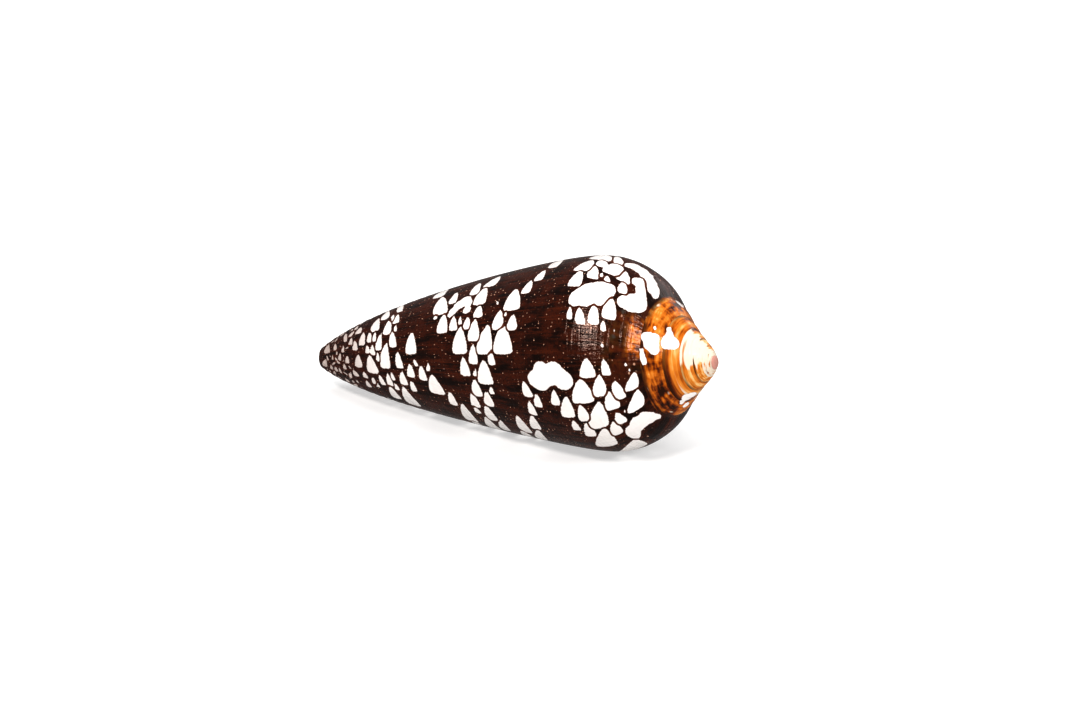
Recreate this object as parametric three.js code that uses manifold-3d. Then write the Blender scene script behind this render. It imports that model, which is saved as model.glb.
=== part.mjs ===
// A tented cone shell lying mouth down: one solid of shell, with its spire, its thin lip and its open mouth.
// Lengths are in millimetres, angles in radians, and +Z is up.
import * as THREE from "three";
import { ParametricGeometry } from "three/addons/geometries/ParametricGeometry.js";
import { mergeGeometries, mergeVertices } from "three/addons/utils/BufferGeometryUtils.js";
import Module from "manifold-3d";

const wasm = await Module();
wasm.setup();

const { degToRad, lerp, mapLinear, smoothstep } = THREE.MathUtils;
const TURN = 2 * Math.PI;

// Growth: one turn back from the lip the shell was smaller by this ratio.
const GROWTH = 1.4;
const SPIRE_TURNS = 6;

// Lip outline from the suture to the front end. x runs along the coiling axis from the apex,
// y is the distance from that axis.
const SUTURE = new THREE.Vector2(8.25, 9.25);
const RAMP_CROWN = new THREE.Vector2(9.4, 11.55);
const RAMP_EDGE = SUTURE.clone().multiplyScalar(GROWTH);
const SHOULDER_LEAD = new THREE.Vector2(13.4, 14.15);
const SHOULDER_ROUND = new THREE.Vector2(17, 15.2);
const WIDEST = new THREE.Vector2(18.5, 15.2);
const FLANK_LEAD = new THREE.Vector2(27.2, 15.2);
const FLANK_TAPER = new THREE.Vector2(47.8, 10.4);
const FRONT = new THREE.Vector2(59.6, 1.9);
const FRONT_TIP = new THREE.Vector2(60, 0);

// Apex: the small round nub of the first shell, over the pole of the spiral.
const NUB_RADIUS = 1.1;
const POLE = new THREE.Vector2(0.6, 0);

// Mouth: a slit between the lip and the turn before it, which is hollowed towards the front end.
const HOLLOW_SHARE = 0.5;
const HOLLOW_START = degToRad(290);
const MOUTH_DEPTH = degToRad(160);
const MOUTH_LEAD = degToRad(6);
const MOUTH_OVERRUN = 3;
const LIP_WALL = 1;
const DEEP_WALL = 1.6;
const FRONT_WALL_SHARE = 0.5;
const FLOOR_SINK = 0.2;

// Rest: the turn about the coiling axis, the rise of the apex, and the depth that is worn flat underneath.
const ROLL = degToRad(-41.1);
const RISE = degToRad(9.64);
const WORN_FLAT = 0.15;

// Facets.
const COLUMNS_A_TURN = 60;
const RAMP_ROWS = 4;
const SHOULDER_ROWS = 5;
const FLANK_ROWS = 16;
const NUB_SIDES = 16;
const NUB_ROWS = 10;
const MOUTH_COLUMNS = 18;
const MOUTH_TOP_ROWS = 6;
const MOUTH_ROWS = 14;
const WELD = 1e-3;

const LIP_CURVES = [
  new THREE.QuadraticBezierCurve(SUTURE, RAMP_CROWN, RAMP_EDGE),
  new THREE.CubicBezierCurve(RAMP_EDGE, SHOULDER_LEAD, SHOULDER_ROUND, WIDEST),
  new THREE.CubicBezierCurve(WIDEST, FLANK_LEAD, FLANK_TAPER, FRONT),
];
// Places on the lip outline, as the number of the curve plus the share of it that is passed.
const AT_SUTURE = 0;
const AT_RAMP_EDGE = 1;
const AT_WIDEST = 2;
const AT_FRONT = 3;
const PAST_FRONT = 4;
const MOUTH_TOP = 1.2;
const MOUTH_FULL = 2.05;

// A point of the lip outline. Past the front end the outline runs on along the axis.
function lipPoint(place) {
  const number = Math.min(Math.floor(place), LIP_CURVES.length - 1);
  const share = place - number;
  const point = LIP_CURVES[number].getPoint(Math.min(share, 1));
  const past = Math.max(share - 1, 0);
  return point.add(new THREE.Vector2(past * MOUTH_OVERRUN, 0));
}

// How far towards the front end an outline point is, from 0 at the widest place to 1.
const frontShare = (point) => smoothstep(point.x, WIDEST.x, FRONT.x);

// The outline at an angle of growth: zero at the lip, negative before it. Older outlines are smaller,
// but all of them reach down to the front end.
function outlinePoint(angle, place) {
  const lip = lipPoint(place);
  const front = frontShare(lip);
  const size = GROWTH ** (angle / TURN);
  const hollow = HOLLOW_SHARE * front * smoothstep(-angle, HOLLOW_START, TURN);
  return new THREE.Vector2(lip.x * size ** (1 - front), lip.y * size * (1 - hollow));
}

// A point of an outline turned to its place round the X axis. The apex is at +X, and seen from
// there the shell grows clockwise.
function turned(point, angle) {
  return new THREE.Vector3(-point.x, point.y * Math.cos(angle), -point.y * Math.sin(angle));
}

// Even places from one end of a stretch of the outline to the other.
function places(from, to, rows) {
  return Array.from({ length: rows + 1 }, (_, row) => lerp(from, to, row / rows));
}

const RAMP_PLACES = places(AT_SUTURE, AT_RAMP_EDGE, RAMP_ROWS);
const BODY_PLACES = [
  ...places(AT_RAMP_EDGE, AT_WIDEST, SHOULDER_ROWS),
  ...places(AT_WIDEST, AT_FRONT, FLANK_ROWS).slice(1),
];
const MOUTH_PLACES = [
  ...places(MOUTH_TOP, MOUTH_FULL, MOUTH_TOP_ROWS),
  ...places(MOUTH_FULL, PAST_FRONT, MOUTH_ROWS).slice(1),
];

// A patch swept through an angle: section(angle, row) gives the outline point of each row.
function sweep(from, to, columns, rows, section) {
  const place = (u, v, target) => {
    const angle = lerp(from, to, u);
    target.copy(turned(section(angle, Math.round(v * rows)), angle));
  };
  return new ParametricGeometry(place, columns, rows);
}

// A flat face on the half-plane at an angle, facing forwards along the growth or backwards.
function meridianFace(points, angle, forwards) {
  const side = forwards ? 1 : -1;
  const outline = points.map((point) => new THREE.Vector2(side * point.x, point.y));
  const face = new THREE.ShapeGeometry(new THREE.Shape(outline));
  if (forwards) face.rotateY(Math.PI);
  return face.rotateX(-angle);
}

// Patches joined at their shared edges into one closed solid. A patch that ends in a pole has
// triangles of no area there, which are left out.
function closedSolid(patches) {
  const bare = patches.map((patch) => patch.deleteAttribute("normal").deleteAttribute("uv"));
  const joined = mergeVertices(mergeGeometries(bare), WELD);
  const corners = joined.index.array;
  const triangles = [];
  for (let i = 0; i < corners.length; i += 3) {
    const [a, b, c] = corners.slice(i, i + 3);
    if (a !== b && b !== c && c !== a) triangles.push(a, b, c);
  }
  const vertProperties = new Float32Array(joined.attributes.position.array);
  const triVerts = new Uint32Array(triangles);
  return new wasm.Manifold(new wasm.Mesh({ numProp: 3, vertProperties, triVerts }));
}

function geometryOf(solid) {
  const { vertProperties, triVerts } = solid.getMesh();
  const geometry = new THREE.BufferGeometry();
  geometry.setAttribute("position", new THREE.BufferAttribute(vertProperties, 3));
  return geometry.setIndex(new THREE.BufferAttribute(triVerts, 1));
}

// The whole outside, solid through: the spiral ramp of the spire, the last turn below it, the step
// down from the lip, and the two ends.
function outside() {
  const birth = -SPIRE_TURNS * TURN;
  const bodyRows = BODY_PLACES.length - 1;
  const rampPoint = (angle, row) => outlinePoint(angle, RAMP_PLACES[row]);
  const bodyPoint = (angle, row) => outlinePoint(angle, BODY_PLACES[row]);
  const apexPoint = (angle, row) => (row === 0 ? POLE : outlinePoint(angle, AT_SUTURE));
  const frontPoint = (angle, row) => (row === 0 ? outlinePoint(angle, AT_FRONT) : FRONT_TIP);
  const lipEdge = [...RAMP_PLACES, ...BODY_PLACES.slice(1)].map((place) => outlinePoint(0, place));
  const turnBefore = BODY_PLACES.slice(1).map((place) => outlinePoint(-TURN, place));
  const firstEdge = RAMP_PLACES.map((place) => outlinePoint(birth, place));
  return closedSolid([
    sweep(birth, 0, SPIRE_TURNS * COLUMNS_A_TURN, RAMP_ROWS, rampPoint),
    sweep(-TURN, 0, COLUMNS_A_TURN, bodyRows, bodyPoint),
    sweep(birth, birth + TURN, COLUMNS_A_TURN, 1, apexPoint),
    sweep(-TURN, 0, COLUMNS_A_TURN, 1, frontPoint),
    meridianFace([...lipEdge, FRONT_TIP, ...turnBefore.reverse()], 0, true),
    meridianFace([POLE, ...firstEdge], birth, false),
  ]);
}

// The nub touches the plane across the apex.
function nub() {
  const bead = new THREE.SphereGeometry(NUB_RADIUS, NUB_SIDES, NUB_ROWS).rotateZ(-Math.PI / 2);
  return closedSolid([bead.translate(-NUB_RADIUS, 0, 0)]);
}

// The section of the hollow behind the mouth at one angle: down the inside of the wall, then back up
// the turn before it. The floor lies just under that turn, and rises out of it ahead of the lip.
function mouthSection(angle) {
  const wall = mapLinear(Math.min(angle, 0), 0, -MOUTH_DEPTH, LIP_WALL, DEEP_WALL);
  const ahead = Math.max(angle, -MOUTH_LEAD);
  const lift = mapLinear(ahead, -MOUTH_LEAD, MOUTH_LEAD, -FLOOR_SINK, FLOOR_SINK);
  const roof = [];
  const floor = [];
  for (const place of MOUTH_PLACES) {
    const turnBefore = outlinePoint(angle - TURN, place);
    const gap = outlinePoint(angle, place).sub(turnBefore);
    const thickness = wall * lerp(1, FRONT_WALL_SHARE, frontShare(lipPoint(place)));
    const room = gap.length() - thickness - lift;
    const open = smoothstep(place, MOUTH_TOP, MOUTH_FULL);
    const away = gap.normalize();
    floor.push(turnBefore.addScaledVector(away, lift));
    roof.push(turnBefore.clone().addScaledVector(away, room * open));
  }
  return [...roof, ...floor.slice(1).reverse()];
}

function mouth() {
  const rows = MOUTH_PLACES.length * 2 - 1;
  const sectionPoint = (angle, row) => mouthSection(angle)[row % rows];
  return closedSolid([
    sweep(-MOUTH_DEPTH, MOUTH_LEAD, MOUTH_COLUMNS, rows, sectionPoint),
    meridianFace(mouthSection(-MOUTH_DEPTH), -MOUTH_DEPTH, false),
    meridianFace(mouthSection(MOUTH_LEAD), MOUTH_LEAD, true),
  ]);
}

// The shell laid as it rests, with its origin under the middle of its box and worn flat where it touches.
function laidDown(solid) {
  const geometry = geometryOf(solid).rotateX(ROLL).rotateY(-RISE);
  geometry.computeBoundingBox();
  const { min, max } = geometry.boundingBox;
  geometry.translate(-(min.x + max.x) / 2, -(min.y + max.y) / 2, -min.z - WORN_FLAT);
  const deep = FRONT.x * 2;
  const ground = new THREE.BoxGeometry(deep, deep, deep).translate(0, 0, -deep / 2);
  return closedSolid([geometry]).subtract(closedSolid([ground]));
}

const geometry = geometryOf(laidDown(outside().add(nub()).subtract(mouth())));
geometry.computeVertexNormals();
const darkShell = new THREE.MeshStandardMaterial({ color: 0x3a1810, roughness: 0.25, metalness: 0 });
const shell = new THREE.Mesh(geometry, darkShell);
shell.name = "shell";

const group = new THREE.Group();
group.add(shell);

export default group;
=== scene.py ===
# %% [markdown]
# # A tented cone shell
# A cone shell is one piece. The animal adds to it at the lip, turn after turn, so every older turn is a
# smaller copy of the last one. The solid that is loaded here has that shape in coarse facets. This lesson
# lays a fine skin over it, paints the skin's white tents and orange spire, and lights it on a pale floor.
# The solid is loaded first, because it fixes the shell's place and its size.

# %% The solid that the skin lies on
import math

import bmesh
import bpy
import numpy as np
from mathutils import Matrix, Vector


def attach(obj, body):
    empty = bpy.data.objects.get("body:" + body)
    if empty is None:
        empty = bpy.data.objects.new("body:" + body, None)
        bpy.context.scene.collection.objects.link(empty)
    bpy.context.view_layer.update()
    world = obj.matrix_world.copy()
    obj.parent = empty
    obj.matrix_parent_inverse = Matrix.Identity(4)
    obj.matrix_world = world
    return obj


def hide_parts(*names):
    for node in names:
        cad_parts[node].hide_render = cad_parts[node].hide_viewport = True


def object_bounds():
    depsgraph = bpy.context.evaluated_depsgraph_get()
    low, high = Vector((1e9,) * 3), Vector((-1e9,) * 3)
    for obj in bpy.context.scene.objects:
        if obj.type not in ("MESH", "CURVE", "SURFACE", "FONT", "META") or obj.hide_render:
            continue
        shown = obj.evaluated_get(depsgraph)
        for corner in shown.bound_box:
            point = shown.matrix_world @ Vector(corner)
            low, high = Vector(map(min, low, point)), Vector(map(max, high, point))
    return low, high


MM = 0.001

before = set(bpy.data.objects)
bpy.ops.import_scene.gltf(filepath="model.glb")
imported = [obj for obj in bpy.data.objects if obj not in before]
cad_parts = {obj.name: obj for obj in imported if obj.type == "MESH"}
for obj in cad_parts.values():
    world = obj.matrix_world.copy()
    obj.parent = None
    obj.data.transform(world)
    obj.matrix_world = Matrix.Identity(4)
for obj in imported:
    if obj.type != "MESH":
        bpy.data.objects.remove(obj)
scene = bpy.context.scene
solid_low, solid_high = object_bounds()
print("solid's box in mm:", [round(side / MM, 2) for side in solid_high - solid_low])

# %% [markdown]
# ## The outline that grows
# One outline is enough for the whole shell: the edge of the lip, from the suture out over the ramp of the
# spire, round the shoulder and down the flank to the front end. It could be a list of many points, but
# three Bezier curves hold it with nine corners and stay smooth at any fineness. The sizes are those of the
# solid, in metres, but the curves bend more evenly where shoulder and flank meet, because a highlight would
# show a sudden change.

# %% The lip's outline
TURN = 2 * math.pi
GROWTH = 1.4  # one turn back the shell was smaller by this ratio

# Corners as (distance along the axis from the apex, distance from the axis).
SUTURE = np.array([8.25, 9.25]) * MM
RAMP_CROWN = np.array([9.4, 11.55]) * MM
RAMP_EDGE = SUTURE * GROWTH
SHOULDER_LEAD = np.array([13.4, 14.15]) * MM
SHOULDER_ROUND = np.array([15.7, 15.2]) * MM
WIDEST = np.array([18.5, 15.2]) * MM
FLANK_LEAD = np.array([25.6, 15.2]) * MM
FLANK_TAPER = np.array([47.8, 10.4]) * MM
FRONT = np.array([59.6, 1.9]) * MM
LIP_CURVES = [
    [SUTURE, RAMP_CROWN, RAMP_EDGE],
    [RAMP_EDGE, SHOULDER_LEAD, SHOULDER_ROUND, WIDEST],
    [WIDEST, FLANK_LEAD, FLANK_TAPER, FRONT],
]


def bezier(corners, share):
    """Point of a Bezier curve: corner k of n weighs comb(n, k) (1 - t)^(n - k) t^k at the share t."""
    last = len(corners) - 1
    share = np.asarray(share, float)[..., None]
    weights = [math.comb(last, k) * (1 - share) ** (last - k) * share**k for k in range(last + 1)]
    return sum(weight * corner for weight, corner in zip(weights, corners))


def lip_outline(place):
    """Point of the lip: the whole part of place numbers the curve, the rest is the share passed."""
    place = np.asarray(place, float)
    ramp, shoulder, flank = (bezier(c, np.clip(place - n, 0, 1)) for n, c in enumerate(LIP_CURVES))
    return np.where((place < 1)[..., None], ramp, np.where((place < 2)[..., None], shoulder, flank))


print("lip from apex to front in mm:", lip_outline([0, 1, 2, 3])[:, 0] / MM)

# %% [markdown]
# ## Carrying the outline round
# Growth angles are zero at the lip and negative before it. One turn back everything is smaller by the
# growth ratio, but each older outline still reaches down to the front end, and there the turn before the
# lip is drawn in, which leaves room for the mouth's slit. A sweep along a spiral curve could do it, but a
# formula keeps all turns alike and gives any point of the skin directly.

# %% Any point of the skin
HOLLOW_SHARE = 0.5
HOLLOW_START = math.radians(290)
BLUNT = 0.7 * MM  # how far the worn apex bulges towards its tip
BLUNT_REACH = 1.7 * MM  # the distance from the tip where it bulges most
ROLL = math.radians(-41.1)
RISE = math.radians(9.64)
WORN_FLAT = 0.15 * MM


def smoothstep(value, low, high):
    """Zero up to low and one from high, with the cubic 3 t^2 - 2 t^3 between."""
    t = np.clip((value - low) / (high - low), 0, 1)
    return t * t * (3 - 2 * t)


def fading(value, low, high):
    """One up to low and zero from high: what a smooth step leaves."""
    return 1 - smoothstep(value, low, high)


def front_share(place):
    """How far towards the front end a place is: zero down to the widest place, one at the front end."""
    return smoothstep(lip_outline(place)[..., 0], WIDEST[0], FRONT[0])


def blunted(along):
    """A distance along the axis, less BLUNT u e^((1 - u^2) / 2), where u counts it in BLUNT_REACH."""
    u = along / BLUNT_REACH
    return along - BLUNT * u * np.exp((1 - u * u) / 2)


def outline_at(angle, place):
    """The lip's outline times growth^turns, but along the axis the power is less by the front share."""
    lip = lip_outline(place)
    front = front_share(place)
    size = GROWTH ** (angle / TURN)
    hollow = HOLLOW_SHARE * front * smoothstep(-angle, HOLLOW_START, TURN)
    return np.stack([blunted(lip[..., 0] * size ** (1 - front)), lip[..., 1] * size * (1 - hollow)], -1)


def turned(outline, angle):
    """Outline points turned round the X axis. Seen from the apex, at +X, the shell grows clockwise."""
    along, out = outline[..., 0], outline[..., 1]
    return np.stack([-along, out * np.cos(angle), -out * np.sin(angle)], -1)


def rolled(points):
    """The points turned by ROLL about X, then by minus RISE about Y: the shell at rest, mouth down."""
    x, y, z = np.moveaxis(points, -1, 0)
    y, z = y * math.cos(ROLL) - z * math.sin(ROLL), y * math.sin(ROLL) + z * math.cos(ROLL)
    return np.stack([x * math.cos(RISE) - z * math.sin(RISE), y, x * math.sin(RISE) + z * math.cos(RISE)], -1)


print("half width one turn back in mm:", round(outline_at(-TURN, 2)[1] / MM, 2))

# %% [markdown]
# ## The ramp of the spire and the nub at the apex
# Seen from the apex the shell is one ramp that winds outwards. Its inner edge is the outer edge of a turn
# before, so with the same number of columns in every turn the edges meet point on point and can be welded.
# The first turn starts with no width on the rim of a small dome, the nub that the young shell was.

# %% Ramp and nub
COLUMNS = 330  # grid columns in one turn
SPIRE_TURNS = 8
RAMP_ROWS = 8
NUB_ROWS = 7
WORN_TURNS = (1.5, 5)  # turns back from the lip between which the steps are worn away
BIRTH_SIZE = GROWTH ** (1 - SPIRE_TURNS)


def spire_ramp():
    """Grid of the ramp: from inner to outer edge at each angle, crowned as the lip's ramp till worn."""
    share = np.linspace(0, 1, RAMP_ROWS + 1)[:, None]
    angle = np.linspace(-SPIRE_TURNS * TURN, 0, SPIRE_TURNS * COLUMNS + 1)[None, :]
    worn = smoothstep(-angle / TURN, *WORN_TURNS)[..., None]
    crown = (lip_outline(share) - SUTURE) / (RAMP_EDGE - SUTURE)
    crown = crown + worn * (share[..., None] - crown)
    size = (GROWTH ** (angle / TURN))[..., None]
    inner = SUTURE * np.maximum(size, BIRTH_SIZE)
    along, out = np.moveaxis(inner + crown * (RAMP_EDGE * size - inner), -1, 0)
    share, angle = np.broadcast_arrays(share, angle)
    return turned(np.stack([blunted(along), out], -1), angle), angle, share


def nub():
    """Grid of the dome, half an ellipse: sin t of the rim's width and 1 - cos t of its depth, rim to pole."""
    rise = np.linspace(math.pi / 2, 0, NUB_ROWS + 1)[:, None]
    angle = np.linspace(-SPIRE_TURNS * TURN, (1 - SPIRE_TURNS) * TURN, COLUMNS + 1)[None, :]
    rise, angle = np.broadcast_arrays(rise, angle)
    along = blunted(SUTURE[0] * BIRTH_SIZE) * (1 - np.cos(rise))
    out = SUTURE[1] * BIRTH_SIZE * np.sin(rise)
    return turned(np.stack([along, out], -1), angle), angle, rise * 0


ramp = spire_ramp()
dome = nub()
print("ramp grid", ramp[0].shape, "nub grid", dome[0].shape)

# %% [markdown]
# ## The last turn and its mouth
# Below the ramp only the last turn shows. Each row of its grid is one closed loop: once round the outside
# to the lip, over the lip's rounded edge, back along the inside of the wall, and out again along the turn
# before, which is where the loop began. So the mouth needs no cutting, and the wall has its true thickness.
# Shallow ribs run round the front end, and coarse growth lines cross the whole turn, where the animal
# paused.

# %% Ribs and growth lines
RIB_PITCH = 1.2 * MM
RIB_DEPTH = 0.06 * MM
RIB_SHARES = (0.5, 0.9)  # front shares between which the ribs come up
GROWTH_LINES = [(17, 0.024 * MM), (41, 0.016 * MM), (73, 0.008 * MM)]  # waves a turn and depth
RELIEF_PLACES = (1.2, 1.6)  # where the relief comes up below the ramp
SMOOTH_PLACES = (2.88, 3.0)  # where the growth lines fade out


def relief(angle, place):
    """Depth of ribs and growth lines: waves along the outline and round the turn, faded out at both ends."""
    along = lip_outline(place)[..., 0]
    ribs = RIB_DEPTH * (1 - np.cos(TURN * along / RIB_PITCH)) / 2
    ribs = ribs * smoothstep(front_share(place), *RIB_SHARES)
    lines = sum(deep * (1 - np.sin(waves * angle + waves)) / 2 for waves, deep in GROWTH_LINES)
    lines = lines * fading(place, *SMOOTH_PLACES)
    return (ribs + lines) * smoothstep(place, *RELIEF_PLACES)


def outside_at(angle, place):
    """The outline at a growth angle, drawn in by the relief."""
    along, out = np.moveaxis(outline_at(angle, place), -1, 0)
    return np.stack([along, out - relief(angle, place)], -1)


print("deepest growth line in mm:", GROWTH_LINES[0][1] / MM)

# %% Wall of the mouth
MOUTH_TOP = 1.2  # place where the mouth starts
MOUTH_FULL = 2.05  # place where it is fully open
MOUTH_DEPTH = math.radians(160)
LIP_WALL = 1 * MM
DEEP_WALL = 1.6 * MM
FRONT_WALL_SHARE = 0.5


def wall_thickness(angle, place):
    """The wall: from LIP_WALL at the lip to DEEP_WALL at the mouth's end, and half that at the front end."""
    wall = LIP_WALL + (DEEP_WALL - LIP_WALL) * -angle / MOUTH_DEPTH
    return wall * (1 + (FRONT_WALL_SHARE - 1) * front_share(place))


def wall_inside(angle, place):
    """The wall's inner side: from the turn before across the gap less the wall, as far as the mouth opens."""
    floor = outline_at(angle - TURN, place)
    gap = outline_at(angle, place) - floor
    wide = np.linalg.norm(gap, axis=-1)
    reach = (1 - wall_thickness(angle, place) / wide) * smoothstep(place, MOUTH_TOP, MOUTH_FULL)
    return floor + gap * reach[..., None]


print("wall at the lip in mm:", wall_thickness(0, np.array([2, 3])) / MM)

# %% Rounding of the front end
FRONT_ROWS = 4
FRONT_ROUND = 0.2 * MM
THICK_ROUND = 0.5 * MM  # the same away from the mouth, where the front end is thick
THICK_FADE = 0.6  # angle over which one turns into the other


def unit(vectors):
    """Vectors over their lengths."""
    return vectors / np.linalg.norm(vectors, axis=-1, keepdims=True)


def front_rim(loop, angle):
    """Rows that round off the front end: each goes inwards by r (1 - cos t), forward by FRONT_ROUND sin t."""
    ahead = np.roll(loop, -1, 0) - np.roll(loop, 1, 0)
    inward = unit(np.cross(ahead, (1, 0, 0)))
    past_mouth = smoothstep(-angle, MOUTH_DEPTH, MOUTH_DEPTH + THICK_FADE)
    thick = smoothstep(angle, -TURN, THICK_FADE - TURN) * past_mouth
    inward *= (FRONT_ROUND + (THICK_ROUND - FRONT_ROUND) * thick)[:, None]
    t = np.linspace(0, math.pi / 2, FRONT_ROWS + 1)[1:, None, None]
    return loop + (1 - np.cos(t)) * inward - np.sin(t) * np.array([FRONT_ROUND, 0, 0])


print("front end rounded in mm by", FRONT_ROUND / MM, "to", THICK_ROUND / MM)

# %% Grid of the last turn
SHOULDER_ROWS = 25
FLANK_ROWS = 150
FRONT_FINE = 0.45  # how much closer the rows lie at the front end
EDGE_COLUMNS = 8
HOLLOW_COLUMNS = 22
DEEP_COLUMNS = 4


def last_turn():
    """Grid of the last turn, a loop a row: outside, lip edge, inside of the wall, deep end, turn before."""
    shoulder = np.linspace(1, 2, SHOULDER_ROWS + 1)
    share = np.linspace(0, 1, FLANK_ROWS + 1)[1:]
    flank = 2 + share + FRONT_FINE * share * (1 - share)
    place = np.concatenate([shoulder, flank])[:, None]
    lip_out = outline_at(np.zeros_like(place), place)[..., 1]
    edge = wall_thickness(0, place) / 2 * smoothstep(place, 1, MOUTH_TOP) / lip_out
    depth = np.maximum(edge, MOUTH_DEPTH * smoothstep(place, MOUTH_TOP, MOUTH_FULL))

    outside = np.linspace(0, 1, COLUMNS + 1)[None, :] * (TURN - edge) - TURN
    bend = np.linspace(0, math.pi, EDGE_COLUMNS + 1)[None, 1:-1]
    back = -edge - np.linspace(0, 1, HOLLOW_COLUMNS + 1)[None, :] * (depth - edge)
    deep = np.linspace(0, 1, DEEP_COLUMNS + 1)[None, 1:-1, None]
    forth = -depth * np.linspace(1, 0, HOLLOW_COLUMNS + 1)[None, :-1]

    lip_outside, lip_inside = outside_at(-edge, place), wall_inside(-edge, place)
    over = ((1 - np.cos(bend)) / 2)[..., None]
    end_roof, end_floor = wall_inside(-depth, place), outside_at(-depth - TURN, place)
    rows = np.broadcast_to(place, back.shape)
    loop = [
        (outside_at(outside, np.broadcast_to(place, outside.shape)), outside),
        (lip_outside + over * (lip_inside - lip_outside), edge * np.sin(bend) - edge),
        (wall_inside(back, rows), back),
        (end_roof + deep * (end_floor - end_roof), -depth + 0 * deep[..., 0]),
        (outside_at(forth - TURN, rows[:, :-1]), forth - TURN),
    ]
    points = np.concatenate([turned(outline, angle) for outline, angle in loop], 1)
    angle = np.concatenate([angle for _, angle in loop], 1)
    rows = np.minimum(np.arange(len(points) + FRONT_ROWS), len(points) - 1)
    points = np.concatenate([points, front_rim(points[-1], angle[-1])])
    return points, angle[rows], np.broadcast_to(place, angle.shape)[rows]


turn = last_turn()
print("last turn's grid", turn[0].shape)

# %% [markdown]
# ## Laying the shell down
# The patches are put in one list of points and laid down as the solid lies: rolled onto its mouth, with the
# apex a little up, the origin under the middle of its box. Turning the finished object would do too, but
# the tents need points that lie as they do in the photograph. The lowest 0.15 mm is worn flat, and nothing
# passes the solid's box.

# %% All points, laid down
patches = [(*ramp, False), (*dome, False), (*turn, True)]  # points, growth angles, places, closed or not


def grid_faces(shape, closed):
    """Corner numbers of a grid's quads, its last column joined to the first if closed."""
    down, round_ = shape
    row = np.arange(down - 1)[:, None] * round_
    column = np.arange(round_ if closed else round_ - 1)[None, :]
    beside = (column + 1) % round_
    corners = [row + column, row + beside, row + round_ + beside, row + round_ + column]
    return np.stack(corners, -1).reshape(-1, 4)


starts = np.cumsum([0] + [angle.size for _, angle, _, _ in patches])
faces = np.concatenate(
    [start + grid_faces(angle.shape, closed) for start, (_, angle, _, closed) in zip(starts, patches)]
)
points = rolled(np.concatenate([grid.reshape(-1, 3) for grid, _, _, _ in patches]))
angles = np.concatenate([angle.ravel() for _, angle, _, _ in patches])
places = np.concatenate([place.ravel() for _, _, place, _ in patches])
low, high = points.min(0), points.max(0)
LAID_SHIFT = np.array([solid_high.x - high[0], -(low[1] + high[1]) / 2, -low[2] - WORN_FLAT])
points = np.clip(points + LAID_SHIFT, np.array(solid_low), np.array(solid_high))
print("points", len(points), "quads", len(faces))
print("box in mm", np.round((points.max(0) - points.min(0)) / MM, 2))


def skin_point(angle, place):
    """A point of the laid shell's skin at a growth angle and a place on the outline."""
    return rolled(turned(outline_at(angle, place), angle)) + LAID_SHIFT


# %% [markdown]
# ## The camera
# The shell was looked at with a long lens, from a little above and from the apex's side. The camera could
# be turned by hand until the picture fits. Here it stands 540 mm from the apex, aimed so that the apex
# lands within 3 pixels of where the photograph has it, because the same numbers then give the pixel of any
# point.

# %% Camera
PHOTO_WIDE, PHOTO_TALL = 1080, 721
APEX_PIXEL = (716.8, 359.8)
CAMERA_SIDE = math.radians(27.2)
CAMERA_HIGH = math.radians(19.9)
CAMERA_AWAY = 540 * MM
LENS = 142.2
SENSOR = 36
PIXELS_A_UNIT = LENS / SENSOR * PHOTO_WIDE
NEAREST_SEEN = 10 * MM

apex = Vector(rolled(np.zeros(3)) + LAID_SHIFT)
towards_camera = Vector(
    (
        math.cos(CAMERA_HIGH) * math.sin(CAMERA_SIDE),
        -math.cos(CAMERA_HIGH) * math.cos(CAMERA_SIDE),
        math.sin(CAMERA_HIGH),
    )
)
right = Vector((0, 0, 1)).cross(towards_camera).normalized()
above = towards_camera.cross(right)
apex_right = (APEX_PIXEL[0] - PHOTO_WIDE / 2) / PIXELS_A_UNIT
apex_below = (APEX_PIXEL[1] - PHOTO_TALL / 2) / PIXELS_A_UNIT
aim = -towards_camera - right * apex_right + above * apex_below


def put_in_scene(name, data):
    """A new object in the scene."""
    thing = bpy.data.objects.new(name, data)
    scene.collection.objects.link(thing)
    return thing


camera = put_in_scene("camera", bpy.data.cameras.new("camera"))
camera.data.lens = LENS
camera.data.sensor_width = SENSOR
camera.data.clip_start = NEAREST_SEEN
camera.location = apex + towards_camera * CAMERA_AWAY
camera.rotation_euler = aim.to_track_quat("-Z", "Y").to_euler()
scene.camera = camera
bpy.context.view_layer.update()


def photo_pixels(spots):
    """Pixels of points: across and down from the picture's middle, by the lens, over the depth."""
    axes = np.array(camera.matrix_world.to_3x3())
    across, up, behind = np.moveaxis((spots - np.array(camera.location)) @ axes, -1, 0)
    x = PHOTO_WIDE / 2 + PIXELS_A_UNIT * across / -behind
    y = PHOTO_TALL / 2 - PIXELS_A_UNIT * up / -behind
    return np.stack([x, y], -1)


print("apex at pixel", np.round(photo_pixels(np.array(apex)), 1))

# %% [markdown]
# ## From a pixel to the skin
# The white marks that the photograph shows are placed by its pixels. A pixel only says where a mark is in
# the picture, so each one is taken to the nearest point of the skin that faces the camera, and from there
# on the mark has a growth angle and a place on the outline, and stays on the shell from any side.

# %% Where a pixel meets the skin
SMALL_STEP = 1e-4
TURN_LOOK = (1200, 600)  # columns and rows of the fine grid on the last turn
SPIRE_LOOK = (3000, 30)  # the same on the ramp
SPIRE_LOOK_TURNS = 5


def skin_axes(angle, place):
    """Unit directions on the skin, from small steps: along the growth line, round with growth, and out."""
    along = unit(skin_point(angle, place + SMALL_STEP) - skin_point(angle, place - SMALL_STEP))
    round_ = skin_point(angle + SMALL_STEP, place) - skin_point(angle - SMALL_STEP, place)
    out = unit(np.cross(round_, along))
    return along, np.cross(along, out), out


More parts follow.
